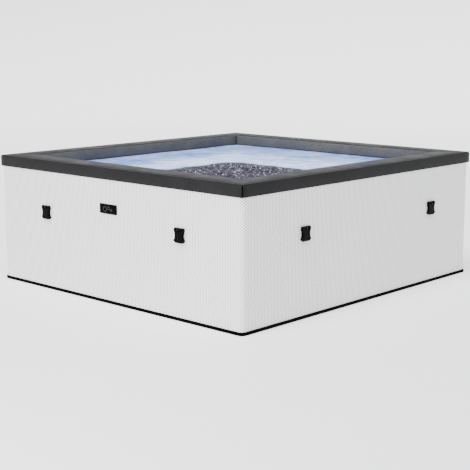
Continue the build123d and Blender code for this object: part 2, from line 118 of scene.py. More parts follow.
class WaterSettings(bpy.types.PropertyGroup):
    """Water surface and the patch that the air stirs up."""
    level: FloatProperty(name="Level", description="Height of the still water above the ground",
                         default=628 * MM, unit="LENGTH")
    depth: FloatProperty(name="Layer", description="Thickness of the layer that shows the water",
                         default=22 * MM, unit="LENGTH")
    ripple: FloatProperty(name="Ripple", description="Height of the ripples on the still water",
                          default=2.5 * MM, unit="LENGTH", min=0.0)
    churn: FloatProperty(name="Churn", description="Height of the lumps in the stirred patch",
                         default=16 * MM, unit="LENGTH", min=0.0)
    bubbles: IntProperty(name="Bubbles", description="Number of bubbles that float on the stirred patch",
                         default=150, min=0)
    bright: colour_choice("Bright", "Lightest blue of the still water", "#A9BFEE")
    deep: colour_choice("Deep", "Strongest blue of the still water", "#5C88DB")


class StageSettings(bpy.types.PropertyGroup):
    """Camera and light."""
    azimuth: FloatProperty(name="Azimuth", description="Direction the camera looks from",
                           default=math.radians(42.93), unit="ROTATION")
    elevation: FloatProperty(name="Elevation", description="Height of the camera above the horizon",
                             default=math.radians(10.39), unit="ROTATION")
    distance: FloatProperty(name="Distance", description="Camera to the point it looks at",
                            default=6.1666, unit="LENGTH")
    lens: FloatProperty(name="Lens", description="Focal length on a 36 mm sensor",
                        default=83.82, unit="CAMERA")
    floor: colour_choice("Floor", "Colour of the studio floor", "#F2F2F2")


# ---------------------------------------------------------------- modelling helpers

def clear_selection():
    """Leave edit mode and select nothing."""
    if bpy.context.object and bpy.context.object.mode != "OBJECT":
        bpy.ops.object.mode_set(mode="OBJECT")
    bpy.ops.object.select_all(action="DESELECT")


def make_active(piece):
    """Select this piece alone and make it the active one."""
    clear_selection()
    piece.select_set(True)
    bpy.context.view_layer.objects.active = piece


def new_box(name, middle, size):
    """Box primitive at its size and place, to be shaped in edit mode."""
    clear_selection()
    bpy.ops.mesh.primitive_cube_add(size=1, location=middle, scale=size)
    piece = bpy.context.object
    piece.name = name
    piece.data.name = name
    bpy.ops.object.transform_apply(location=True, rotation=True, scale=True)
    return piece


def choose(piece, kind, test):
    """In edit mode, select exactly the vertices, edges or faces that pass the test."""
    bpy.ops.mesh.select_mode(type=kind)
    bpy.ops.mesh.select_all(action="DESELECT")
    mesh = bmesh.from_edit_mesh(piece.data)
    items = {"VERT": mesh.verts, "EDGE": mesh.edges, "FACE": mesh.faces}[kind]
    for item in items:
        if test(item):
            item.select_set(True)
    mesh.select_flush_mode()
    bmesh.update_edit_mesh(piece.data)


def edge_way(edge):
    """Unit vector along an edge, without its sign."""
    way = (edge.verts[1].co - edge.verts[0].co).normalized()
    return Vector(map(abs, way))


def edge_middle(edge):
    """Middle of an edge."""
    return (edge.verts[0].co + edge.verts[1].co) / 2


def divide(piece, test, cuts):
    """Subdivide the edges that pass the test."""
    choose(piece, "EDGE", test)
    bpy.ops.mesh.subdivide(number_cuts=cuts)


def slice_at(place, normal, clear=False):
    """Cut everything with a plane, and remove and close what is beyond it if clear is set."""
    bpy.ops.mesh.select_all(action="SELECT")
    bpy.ops.mesh.bisect(plane_co=place, plane_no=normal, use_fill=clear, clear_outer=clear)


def move_points(piece, shift):
    """In edit mode, add shift(vertex) to each vertex."""
    mesh = bmesh.from_edit_mesh(piece.data)
    mesh.normal_update()
    moves = [(vertex, shift(vertex)) for vertex in mesh.verts]
    for vertex, move in moves:
        vertex.co += move
    bmesh.update_edit_mesh(piece.data)


def apply_modifier(piece, kind, **settings):
    """Add a modifier, set it and apply it."""
    make_active(piece)
    modifier = piece.modifiers.new(kind.title(), kind)
    for name, value in settings.items():
        setattr(modifier, name, value)
    bpy.ops.object.modifier_apply(modifier=modifier.name)


def shade(piece, degrees):
    """Smooth shading that keeps edges sharper than an angle."""
    make_active(piece)
    bpy.ops.object.shade_smooth_by_angle(angle=math.radians(degrees))


def finish_piece(piece, body, material):
    """Give a piece its material and put it on its body."""
    piece.data.materials.clear()
    piece.data.materials.append(material)
    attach(piece, body)


def turned_copy(piece, name, matrix):
    """Copy of a piece with its own mesh, put in place by a matrix."""
    copy = piece.copy()
    copy.data = piece.data.copy()
    copy.name = copy.data.name = name
    bpy.context.scene.collection.objects.link(copy)
    copy.data.transform(matrix)
    return copy


def merged_copy(node_name, name):
    """Copy of a frame part's mesh as its own piece, with its loose triangles joined."""
    piece = bpy.data.objects.new(name, NODES[node_name].data.copy())
    piece.data.name = name
    bpy.context.scene.collection.objects.link(piece)
    make_active(piece)
    bpy.ops.object.mode_set(mode="EDIT")
    bpy.ops.mesh.select_all(action="SELECT")
    bpy.ops.mesh.remove_doubles(threshold=0.01 * MM)
    bpy.ops.object.mode_set(mode="OBJECT")
    return piece


def joined(pieces, name):
    """Several pieces as one."""
    clear_selection()
    for piece in pieces:
        piece.select_set(True)
    bpy.context.view_layer.objects.active = pieces[0]
    bpy.ops.object.join()
    pieces[0].name = pieces[0].data.name = name
    return pieces[0]


def smooth_step(value):
    """0 below 0, 1 above 1, and a soft ramp between."""
    value = min(max(value, 0.0), 1.0)
    return value * value * (3 - 2 * value)


# ---------------------------------------------------------------- materials

COLOURS = {"data_type": "RGBA"}
SOFT = {"interpolation_type": "SMOOTHSTEP"}


def node(tree, kind, inputs=(), **settings):
    """Add a shader node with its settings and its inputs, each a value or a socket to link."""
    made = tree.nodes.new(kind)
    for name, value in settings.items():
        setattr(made, name, value)
    for name, value in dict(inputs).items():
        if isinstance(value, bpy.types.NodeSocket):
            tree.links.new(value, made.inputs[name])
        else:
            made.inputs[name].default_value = value
    return made.outputs


def blank_material(name):
    """Material with an empty node tree, and the tree."""
    material = bpy.data.materials.new(name)
    material.use_nodes = True
    material.node_tree.nodes.clear()
    return material, material.node_tree


def darker(colour, keep):
    """The same colour with less light in it."""
    return tuple(channel * keep for channel in colour[:3]) + (1.0,)


def woven_pvc(settings):
    """PVC-coated flat strands woven over upright ribs: matt, with painted shade where they dip and between
    them.
    """
    material, tree = blank_material("woven_pvc_cladding")
    position = node(tree, "ShaderNodeTexCoord")["Object"]
    place = node(tree, "ShaderNodeUVMap", uv_map="weave")["UV"]
    split = node(tree, "ShaderNodeSeparateXYZ", {0: place})
    strand = node(tree, "ShaderNodeMath", {0: split["Y"]}, operation="ROUND")[0]
    waves = []
    for count in (split["X"], strand):
        angle = node(tree, "ShaderNodeMath", {0: count, 1: math.pi}, operation="MULTIPLY")[0]
        waves.append(node(tree, "ShaderNodeMath", {0: angle}, operation="COSINE")[0])
    beat = node(tree, "ShaderNodeMath", {0: waves[0], 1: waves[1]}, operation="MULTIPLY")[0]
    # Painted shade: over falls to 0 where a strand dips under a rib, and there the recess colour is painted
    # in as shade
    over = node(tree, "ShaderNodeMapRange", {0: beat, 1: -0.97, 2: -0.45}, **SOFT)[0]
    off_middle = node(tree, "ShaderNodeMath", {0: split["Y"], 1: strand}, operation="SUBTRACT")[0]
    off_middle = node(tree, "ShaderNodeMath", {0: off_middle}, operation="ABSOLUTE")[0]
    # Painted shade: groove darkens the strands' edges, where they meet, with the grey below, and also sinks
    # them in the bump
    groove = node(tree, "ShaderNodeMapRange", {0: off_middle, 1: 0.36, 2: 0.5, 4: 0.5}, **SOFT)[0]
    # Clouds of dust and sun 250 mm wide
    cloudy = node(tree, "ShaderNodeTexNoise", {"Vector": position, "Scale": 1 / 0.25, "Detail": 3.0})[0]
    cloudy = node(tree, "ShaderNodeMapRange", {0: cloudy, 1: 0.3, 2: 0.75, 4: 0.1}, **SOFT)[0]
    # Streaks along the strands, three ribs long
    stretched = node(tree, "ShaderNodeMapping", {"Vector": place, "Scale": (0.35, 4.0, 1.0)})[0]
    streak = node(tree, "ShaderNodeTexNoise", {"Vector": stretched, "Scale": 1.0, "Detail": 2.0})[0]
    pale = node(tree, "ShaderNodeMapRange", {0: streak, 1: 0.35, 2: 0.7, 4: 0.22}, **SOFT)[0]
    # Painted shade: the recess colour and the groove grey stand for shade; the clouds and streaks are the
    # cloth's own tone
    base = tuple(settings.shade)
    for factor, colour in ((over, tuple(settings.light)), (groove, linear("#8D8F93")),
                           (cloudy, linear("#C9CACC")), (pale, linear("#FAFAF8"))):
        base = node(tree, "ShaderNodeMix", {0: factor, 6: base, 7: colour}, **COLOURS)[2]
    height = node(tree, "ShaderNodeMath", {0: groove, 1: -2.0, 2: streak}, operation="MULTIPLY_ADD")[0]
    bump = node(tree, "ShaderNodeBump", {"Strength": 0.5, "Distance": 0.4 * MM, "Height": height})[0]
    rough = node(tree, "ShaderNodeMapRange", {0: streak, 1: 0.2, 2: 0.8, 3: 0.5, 4: 0.68})[0]
    finish = {"Base Color": base, "Roughness": rough, "Normal": bump, "Specular IOR Level": 0.4}
    surface = node(tree, "ShaderNodeBsdfPrincipled", finish)[0]
    node(tree, "ShaderNodeOutputMaterial", {"Surface": surface})
    return material


def leatherette(name, light, dark, worn):
    """PU-coated cloth with an embossed pebble grain: satin, with painted shade in the grain's hollows, paler
    where rubbed.
    """
    material, tree = blank_material(name)
    position = node(tree, "ShaderNodeTexCoord")["Object"]
    # The real grain is about 1.5 mm, drawn 4 mm wide so that it shows
    grain = {"Vector": position, "Scale": 1 / (4 * MM)}
    pebble = node(tree, "ShaderNodeTexVoronoi", grain, feature="SMOOTH_F1")["Distance"]
    broad = node(tree, "ShaderNodeTexNoise", {"Vector": position, "Scale": 1 / 0.12, "Detail": 3.0})[0]
    creases = {"Vector": position, "Scale": 1 / (12 * MM), "Detail": 4.0, "Roughness": 0.6}
    crease = node(tree, "ShaderNodeTexNoise", creases)[0]
    # Painted shade: sunk darkens the grain's hollows, which are low in the bump
    sunk = node(tree, "ShaderNodeMapRange", {0: pebble, 1: 0.2, 2: 0.75}, **SOFT)[0]
    rubbed = node(tree, "ShaderNodeMapRange", {0: broad, 1: 0.35, 2: 0.75, 4: 0.35}, **SOFT)[0]
    base = light
    for factor, colour in ((sunk, dark), (rubbed, worn)):
        base = node(tree, "ShaderNodeMix", {0: factor, 6: base, 7: colour}, **COLOURS)[2]
    height = node(tree, "ShaderNodeMath", {0: pebble, 1: -1.25, 2: crease}, operation="MULTIPLY_ADD")[0]
    bump = node(tree, "ShaderNodeBump", {"Strength": 0.45, "Distance": 0.5 * MM, "Height": height})[0]
    rough = node(tree, "ShaderNodeMapRange", {0: broad, 1: 0.3, 2: 0.7, 3: 0.5, 4: 0.62})[0]
    finish = {"Base Color": base, "Roughness": rough, "Normal": bump, "Specular IOR Level": 0.1}
    surface = node(tree, "ShaderNodeBsdfPrincipled", finish)[0]
    node(tree, "ShaderNodeOutputMaterial", {"Surface": surface})
    return material


def moulded(name, text, rough, gloss=0.5, grain=0.9 * MM, depth=0.05 * MM, mottle=0.25):
    """Injection-moulded plastic or rubber: one faintly mottled colour with a fine eroded texture."""
    material, tree = blank_material(name)
    position = node(tree, "ShaderNodeTexCoord")["Object"]
    fine = node(tree, "ShaderNodeTexNoise", {"Vector": position, "Scale": 1 / grain})[0]
    broad = node(tree, "ShaderNodeTexNoise", {"Vector": position, "Scale": 1 / (40 * MM)})[0]
    tone = node(tree, "ShaderNodeMapRange", {0: broad, 1: 0.3, 2: 0.7}, **SOFT)[0]
    colour = linear(text)
    base = node(tree, "ShaderNodeMix", {0: tone, 6: darker(colour, 1 - mottle), 7: colour}, **COLOURS)[2]
    bump = node(tree, "ShaderNodeBump", {"Strength": 0.5, "Distance": depth, "Height": fine})[0]
    spread = {0: broad, 1: 0.3, 2: 0.7, 3: rough - 0.06, 4: rough + 0.06}
    roughness = node(tree, "ShaderNodeMapRange", spread)[0]
    finish = {"Base Color": base, "Roughness": roughness, "Normal": bump, "Specular IOR Level": gloss}
    surface = node(tree, "ShaderNodeBsdfPrincipled", finish)[0]
    node(tree, "ShaderNodeOutputMaterial", {"Surface": surface})
    return material


def webbing(name, text, pitch=1.4 * MM):
    """Woven nylon tape or thread: fine ribs one pitch apart with painted shade between them, matt, with a
    little fuzz.
    """
    material, tree = blank_material(name)
    position = node(tree, "ShaderNodeTexCoord")["Object"]
    # A band texture of scale 1 repeats every 2 pi / 20 m
    bands = {"Vector": position, "Scale": math.pi / 10 / pitch, "Distortion": 0.6}
    ribs = node(tree, "ShaderNodeTexWave", bands, bands_direction="Z")["Fac"]
    fuzz = node(tree, "ShaderNodeTexNoise", {"Vector": position, "Scale": 1 / MM, "Detail": 3.0})[0]
    # Painted shade: raised is low between the ribs, where the bump is low, and there the colour is halved
    raised = node(tree, "ShaderNodeMapRange", {0: ribs, 1: 0.1, 2: 0.7}, **SOFT)[0]
    colour = linear(text)
    base = node(tree, "ShaderNodeMix", {0: raised, 6: darker(colour, 0.5), 7: colour}, **COLOURS)[2]
    height = node(tree, "ShaderNodeMath", {0: fuzz, 1: 0.4, 2: ribs}, operation="MULTIPLY_ADD")[0]
    bump = node(tree, "ShaderNodeBump", {"Strength": 0.7, "Distance": 0.3 * MM, "Height": height})[0]
    finish = {"Base Color": base, "Normal": bump, "Roughness": 0.8, "Specular IOR Level": 0.12}
    surface = node(tree, "ShaderNodeBsdfPrincipled", finish)[0]
    node(tree, "ShaderNodeOutputMaterial", {"Surface": surface})
    return material


def vinyl(name, text, other):
    """Calendered PVC sheet: soft gloss, with broad shallow creases and faint painted shade in their hollows.
    """
    material, tree = blank_material(name)
    position = node(tree, "ShaderNodeTexCoord")["Object"]
    creases = {"Vector": position, "Scale": 1 / 0.11, "Detail": 4.0, "Roughness": 0.45}
    crease = node(tree, "ShaderNodeTexNoise", creases)[0]
    fine = node(tree, "ShaderNodeTexNoise", {"Vector": position, "Scale": 1 / (5 * MM)})[0]
    # Painted shade: tone follows the creases, darker in their hollows and paler on their crests
    tone = node(tree, "ShaderNodeMapRange", {0: crease, 1: 0.3, 2: 0.7}, **SOFT)[0]
    base = node(tree, "ShaderNodeMix", {0: tone, 6: linear(text), 7: linear(other)}, **COLOURS)[2]
    height = node(tree, "ShaderNodeMath", {0: fine, 1: 0.05, 2: crease}, operation="MULTIPLY_ADD")[0]
    bump = node(tree, "ShaderNodeBump", {"Strength": 0.35, "Distance": 6 * MM, "Height": height})[0]
    finish = {"Base Color": base, "Normal": bump, "Roughness": 0.36}
    surface = node(tree, "ShaderNodeBsdfPrincipled", finish)[0]
    node(tree, "ShaderNodeOutputMaterial", {"Surface": surface})
    return material


def closed_cell_foam():
    """Polyethylene foam: off-white beads 3 mm wide, pressed together and matt, with painted shade where they
    meet.
    """
    material, tree = blank_material("polyethylene_foam")
    position = node(tree, "ShaderNodeTexCoord")["Object"]
    bead = node(tree, "ShaderNodeTexVoronoi", {"Vector": position, "Scale": 1 / (3 * MM)})["Distance"]
    # Painted shade: the colour darkens towards the beads' edges, where the bump sinks between them
    base = node(tree, "ShaderNodeMix", {0: bead, 6: linear("#F2F2EE"), 7: linear("#C9C9C4")}, **COLOURS)[2]
    bump = {"Strength": 0.6, "Distance": 0.4 * MM, "Height": bead}
    bump = node(tree, "ShaderNodeBump", bump, invert=True)[0]
    finish = {"Base Color": base, "Normal": bump, "Roughness": 0.85}
    surface = node(tree, "ShaderNodeBsdfPrincipled", finish)[0]
    node(tree, "ShaderNodeOutputMaterial", {"Surface": surface})
    return material


def die_cast_zinc():
    """Die-cast zinc under a black coat: satin, with bare metal where fingers have worn it."""
    material, tree = blank_material("coated_zinc")
    position = node(tree, "ShaderNodeTexCoord")["Object"]
    patches = {"Vector": position, "Scale": 1 / (2.5 * MM), "Detail": 4.0, "Roughness": 0.65}
    worn = node(tree, "ShaderNodeTexNoise", patches)[0]
    bare = node(tree, "ShaderNodeMapRange", {0: worn, 1: 0.6, 2: 0.78}, **SOFT)[0]
    base = node(tree, "ShaderNodeMix", {0: bare, 6: linear("#242426"), 7: linear("#8A8B8E")}, **COLOURS)[2]
    bump = node(tree, "ShaderNodeBump", {"Strength": 0.3, "Distance": 0.05 * MM, "Height": worn})[0]
    finish = {"Base Color": base, "Normal": bump, "Metallic": 0.8, "Roughness": 0.38}
    surface = node(tree, "ShaderNodeBsdfPrincipled", finish)[0]
    node(tree, "ShaderNodeOutputMaterial", {"Surface": surface})
    return material


def pleated_paper():
    """Filter paper: matt, faintly blue-white, with fibres 1.5 mm long."""
    material, tree = blank_material("filter_paper")
    position = node(tree, "ShaderNodeTexCoord")["Object"]
    fibres = {"Vector": position, "Scale": 1 / (1.5 * MM), "Detail": 5.0, "Roughness": 0.7}
    fibre = node(tree, "ShaderNodeTexNoise", fibres)[0]
    tone = node(tree, "ShaderNodeMapRange", {0: fibre, 1: 0.35, 2: 0.65}, **SOFT)[0]
    base = node(tree, "ShaderNodeMix", {0: tone, 6: linear("#DCE2E8"), 7: linear("#F6F8FA")}, **COLOURS)[2]
    bump = node(tree, "ShaderNodeBump", {"Strength": 0.6, "Distance": 0.15 * MM, "Height": fibre})[0]
    finish = {"Base Color": base, "Normal": bump, "Roughness": 0.9}
    surface = node(tree, "ShaderNodeBsdfPrincipled", finish)[0]
    node(tree, "ShaderNodeOutputMaterial", {"Surface": surface})
    return material


def spa_water(settings, patch):
    """Blue water in daylight: glossy, with a painted net of light; dark, rough and frothy where the air
    stirs it.
    """
    material, tree = blank_material("spa_water")
    position = node(tree, "ShaderNodeTexCoord")["Object"]
    broad = node(tree, "ShaderNodeTexNoise", {"Vector": position, "Scale": 1 / 0.42})[0]
    broad = node(tree, "ShaderNodeMapRange", {0: broad, 1: 0.3, 2: 0.7}, **SOFT)[0]
    small_waves = {"Vector": position, "Scale": 1 / 0.09, "Detail": 3.0, "Roughness": 0.55}
    wave = node(tree, "ShaderNodeTexNoise", small_waves)[0]
    violet = node(tree, "ShaderNodeMapRange", {0: wave, 1: 0.45, 2: 0.75, 4: 0.4}, **SOFT)[0]
    wobble = node(tree, "ShaderNodeTexNoise", {"Vector": position, "Scale": 1 / 0.15})["Color"]
    bent = node(tree, "ShaderNodeVectorMath", {0: wobble, 1: (0.14, 0.14, 0.0), 2: position},
                operation="MULTIPLY_ADD")[0]
    # Painted light: a net of bright lines, like light that ripples focus, painted into the colour as #D5E3FA
    # below
    net = node(tree, "ShaderNodeTexVoronoi", {"Vector": bent, "Scale": 1 / 0.14},
               feature="DISTANCE_TO_EDGE", voronoi_dimensions="2D")["Distance"]
    net = node(tree, "ShaderNodeMapRange", {0: net, 1: 0.0, 2: 0.16, 3: 0.3, 4: 0.0}, **SOFT)[0]
    still = tuple(settings.deep)
    for factor, colour in ((broad, tuple(settings.bright)), (violet, linear("#A9B0EC")),
                           (net, linear("#D5E3FA"))):
        still = node(tree, "ShaderNodeMix", {0: factor, 6: still, 7: colour}, **COLOURS)[2]

    split = node(tree, "ShaderNodeSeparateXYZ", {0: position})
    reach = []
    for axis, (middle, half) in zip("XY", patch):
        away = node(tree, "ShaderNodeMath", {0: split[axis], 1: middle}, operation="SUBTRACT")[0]
        away = node(tree, "ShaderNodeMath", {0: away}, operation="ABSOLUTE")[0]
        away = node(tree, "ShaderNodeMath", {0: away, 1: half}, operation="DIVIDE")[0]
        reach.append(node(tree, "ShaderNodeMath", {0: away, 1: SQUARENESS}, operation="POWER")[0])
    total = node(tree, "ShaderNodeMath", {0: reach[0], 1: reach[1]}, operation="ADD")[0]
    outline = node(tree, "ShaderNodeMath", {0: total, 1: 1 / SQUARENESS}, operation="POWER")[0]
    ragged = node(tree, "ShaderNodeTexNoise", {"Vector": position, "Scale": 1 / 0.09, "Detail": 3.0})[0]
    ragged = node(tree, "ShaderNodeMapRange", {0: ragged, 3: -0.2, 4: 0.2}, clamp=False)[0]
    outline = node(tree, "ShaderNodeMath", {0: outline, 1: ragged}, operation="ADD")[0]
    inside = node(tree, "ShaderNodeMapRange", {0: outline, 1: 1.08, 2: 0.94}, **SOFT)[0]
    border = node(tree, "ShaderNodeMapRange", {0: outline, 1: 0.84, 2: 0.98, 4: 0.6}, **SOFT)[0]
    lumps = {"Vector": position, "Scale": 1 / (34 * MM), "Detail": 4.0, "Roughness": 0.6}
    lumps = node(tree, "ShaderNodeTexNoise", lumps)[0]
    lumps = node(tree, "ShaderNodeMapRange", {0: lumps, 1: 0.36, 2: 0.62}, **SOFT)[0]
    froth = {"Vector": position, "Scale": 1 / (9 * MM), "Detail": 3.0, "Roughness": 0.6}
    froth = node(tree, "ShaderNodeTexNoise", froth)[0]
    white = node(tree, "ShaderNodeMapRange", {0: froth, 1: 0.58, 2: 0.72}, **SOFT)[0]
    stirred = linear("#16151F")
    for factor, colour in ((lumps, linear("#3E3B47")), (white, linear("#9A99A8")),
                           (border, linear("#1C2230"))):
        stirred = node(tree, "ShaderNodeMix", {0: factor, 6: stirred, 7: colour}, **COLOURS)[2]
    base = node(tree, "ShaderNodeMix", {0: inside, 6: still, 7: stirred}, **COLOURS)[2]
    bubbling = node(tree, "ShaderNodeMath", {0: inside, 1: froth}, operation="MULTIPLY")[0]
    height = node(tree, "ShaderNodeMath", {0: wave, 1: 0.4, 2: bubbling}, operation="MULTIPLY_ADD")[0]
    bump = node(tree, "ShaderNodeBump", {"Strength": 0.5, "Distance": 6 * MM, "Height": height})[0]
    rough = node(tree, "ShaderNodeMapRange", {0: inside, 3: 0.12, 4: 0.55})[0]
    finish = {"Base Color": base, "Roughness": rough, "Normal": bump, "Specular IOR Level": 0.06}
    surface = node(tree, "ShaderNodeBsdfPrincipled", finish)[0]
    node(tree, "ShaderNodeOutputMaterial", {"Surface": surface})
    return material


def bubble_film():
    """Skin of water round air: glossy, grey-blue, paler in places."""
    material, tree = blank_material("bubble_film")
    position = node(tree, "ShaderNodeTexCoord")["Object"]
    tint = node(tree, "ShaderNodeTexNoise", {"Vector": position, "Scale": 1 / (30 * MM)})[0]
    tint = node(tree, "ShaderNodeMapRange", {0: tint, 1: 0.35, 2: 0.65}, **SOFT)[0]
    base = node(tree, "ShaderNodeMix", {0: tint, 6: linear("#5B6072"), 7: linear("#A9AFC2")}, **COLOURS)[2]
    finish = {"Base Color": base, "Roughness": 0.12, "IOR": 1.333}
    surface = node(tree, "ShaderNodeBsdfPrincipled", finish)[0]
    node(tree, "ShaderNodeOutputMaterial", {"Surface": surface})
    return material


def studio_paper(settings):
    """Seamless background paper: pale and matt, with a faint change of tone."""
    material, tree = blank_material("studio_paper")
    position = node(tree, "ShaderNodeTexCoord")["Object"]
    tone = node(tree, "ShaderNodeTexNoise", {"Vector": position, "Scale": 1 / 0.4})[0]
    pale = tuple(settings.floor)
    base = node(tree, "ShaderNodeMix", {0: tone, 6: pale, 7: darker(pale, 0.98)}, **COLOURS)[2]
    finish = {"Base Color": base, "Roughness": 0.9, "Specular IOR Level": 0.2}
    surface = node(tree, "ShaderNodeBsdfPrincipled", finish)[0]
    node(tree, "ShaderNodeOutputMaterial", {"Surface": surface})
    return material


# ---------------------------------------------------------------- the frame's own parts

class HOTTUB_OT_cad_finish(bpy.types.Operator):
    """Give every part that the frame brings its real finish"""
    bl_idname = "hottub.cad_finish"
    bl_label = "Finish frame parts"

    def execute(self, context):
        finishes = {
            "foam": closed_cell_foam(),
            "woven_cladding": moulded("cladding_backing", "#D8D8D8", 0.7),
            "rim_leatherette": moulded("rim_backing", "#3A3A3B", 0.5),
            # Rubber: dull black, almost no highlight
            "black_rubber": moulded("black_rubber", "#020202", 0.6, gloss=0.03),
            # EVA foam mat: dull black with a coarse skin
            "mat_rubber": moulded("eva_mat", "#020202", 0.8, 0.03, 2.5 * MM, 0.3 * MM),
            "liner_pvc": vinyl("liner_vinyl", "#8FA3BF", "#9FB2CC"),
            "channel_pvc": vinyl("channel_vinyl", "#B9C6D8", "#C6D2E2"),
            "black_webbing": webbing("black_webbing", "#09090A"),
            "hook_and_loop": webbing("hook_and_loop_tape", "#1D1D1F", 2 * MM),
            # Nylon: black, satin
            "buckle_plastic": moulded("buckle_nylon", "#020202", 0.45, gloss=0.04),
            "emblem_grey": moulded("emblem_rubber", "#3F3F41", 0.45, gloss=0.2),
            # Acetal: harder and a little shinier than nylon
            "zip_plastic": moulded("zip_acetal", "#1E1E20", 0.4),
            "zip_metal": die_cast_zinc(),
            # ABS: even colour, glossy
            "port_plastic": moulded("port_abs", "#D9DADC", 0.34, mottle=0.06),
            "fitting_plastic": moulded("nut_abs", "#2F3033", 0.42),
            "filter_paper": pleated_paper(),
            # Polypropylene: slightly waxy
            "filter_plastic": moulded("filter_polypropylene", "#2F5E9E", 0.38, mottle=0.12),
        }
        for name, slot in SLOTS.items():
            NODES[name].data.materials.clear()
            NODES[name].data.materials.append(finishes[slot])
        return {"FINISHED"}


class HOTTUB_OT_soft_trim(bpy.types.Operator):
    """Build the mat, webbing and zip tape with the soft edges of cut foam and cloth"""
    bl_idname = "hottub.soft_trim"
    bl_label = "Soft trim"

    # Rounding of each part's cut edges
    edges = {"base_mat": 2.5 * MM, "buckle_tabs": 0.3 * MM, "zip_tape": 0.3 * MM}

    def execute(self, context):
        for name, radius in self.edges.items():
            piece = merged_copy(name, f"{name}_cloth")
            make_active(piece)
            bpy.ops.object.mode_set(mode="EDIT")
            bpy.ops.mesh.select_all(action="SELECT")
            bpy.ops.mesh.dissolve_limited(angle_limit=math.radians(1))
            bpy.ops.object.mode_set(mode="OBJECT")
            apply_modifier(piece, "BEVEL", width=radius, segments=2, angle_limit=math.radians(50))
            shade(piece, 40)
            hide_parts(name)
            finish_piece(piece, ROOT, NODES[name].data.materials[0])
        return {"FINISHED"}


class HOTTUB_OT_liner(bpy.types.Operator):
    """Build the liner's loose vinyl, which hangs in shallow folds on three of its walls"""
    bl_idname = "hottub.liner"
    bl_label = "Liner"

    # Strips that the vinyl is cut into along X and Y, and up its height
    strips, rows = (40, 42), 12
    # Depth of the folds, and the bands near the floor, top and corners that they fade out towards
    fold_depth = 4 * MM
    flat_floor, flat_top, flat_corner, fade = 110 * MM, 30 * MM, 70 * MM, 120 * MM
    # Room behind and in front of a wall's nominal place within which its vinyl is found
    behind, before = -1 * MM, 6 * MM

    def execute(self, context):
        piece = merged_copy("liner", "liner_vinyl")
        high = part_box("liner")[1]
        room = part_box("wall_core_right")[0].x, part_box("wall_core_back")[0].y
        make_active(piece)
        bpy.ops.object.mode_set(mode="EDIT")
        for axis, (reach, count) in enumerate(zip(room, self.strips)):
            normal = [0, 0, 0]
            normal[axis] = 1
            for step in range(1, count):
                place = [0, 0, 0]
                place[axis] = -reach + 2 * reach * step / count
                slice_at(place, normal)
        for step in range(1, self.rows):
            slice_at((0, 0, high.z * step / self.rows), (0, 0, 1))
        self.fold(piece, room, high.z)
        bpy.ops.object.mode_set(mode="OBJECT")
        shade(piece, 40)
        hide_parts("liner")
        finish_piece(piece, ROOT, NODES["liner"].data.materials[0])
        return {"FINISHED"}

    def fold(self, piece, room, top):
        """Move the walls' vinyl inwards in upright folds that fade out at the corners, floor and top."""
        def shift(vertex):
            x, y, z = vertex.co
            upright = smooth_step((z - self.flat_floor) / self.fade)
            upright *= smooth_step((top - self.flat_top - z) / self.fade)
            ways = [(room[0] - abs(x), room[1] - abs(y), Vector((-math.copysign(1, x), 0, 0)), y)]
            if y < 0:
                ways.append((room[1] - abs(y), room[0] - abs(x), Vector((0, 1, 0)), x))
            for from_wall, from_corner, inward, along in ways:
                if self.behind < from_wall < self.before:
                    hold = upright * smooth_step((from_corner - self.flat_corner) / self.fade)
                    wave = 0.5 + 0.5 * math.sin(along * 33 + 1.6 * math.sin(z * 7 + along * 3))
                    return inward * self.fold_depth * wave * hold
            return Vector((0, 0, 0))
        move_points(piece, shift)


# ---------------------------------------------------------------- cladding

class WeaveLoop:
    """Rounded rectangle round the walls, with its places counted in weave columns."""

    def __init__(self, half, radius, rib):
        self.radius = radius
        self.straight = [size - radius for size in half]
        self.counts = [2 * round(length / rib) for length in self.straight]
        self.corner = 2 * max(1, round(radius * math.pi / 4 / rib))
        self.total = 2 * sum(self.counts) + 4 * self.corner

    def column(self, x, y):
        """How many columns round the loop a point of it is, from the front's left end."""
        long_x, long_y = self.straight
        near = (min(max(x, -long_x), long_x), min(max(y, -long_y), long_y))
        turn = (round(math.atan2(y - near[1], x - near[0]) + math.pi / 2, 5) % (2 * math.pi))
        count_x, count_y = self.counts
        on_front = (near[0] + long_x) / (2 * long_x) * count_x
        on_right = count_x + (near[1] + long_y) / (2 * long_y) * count_y
        on_back = count_x + count_y + (long_x - near[0]) / (2 * long_x) * count_x
        on_left = 2 * count_x + count_y + (long_y - near[1]) / (2 * long_y) * count_y
        ways = (on_front, on_right, on_back, on_left, 2 * (count_x + count_y))
        quarter = int((turn + math.pi / 4) // (math.pi / 2))
        return ways[quarter] + turn / (math.pi / 2) * self.corner


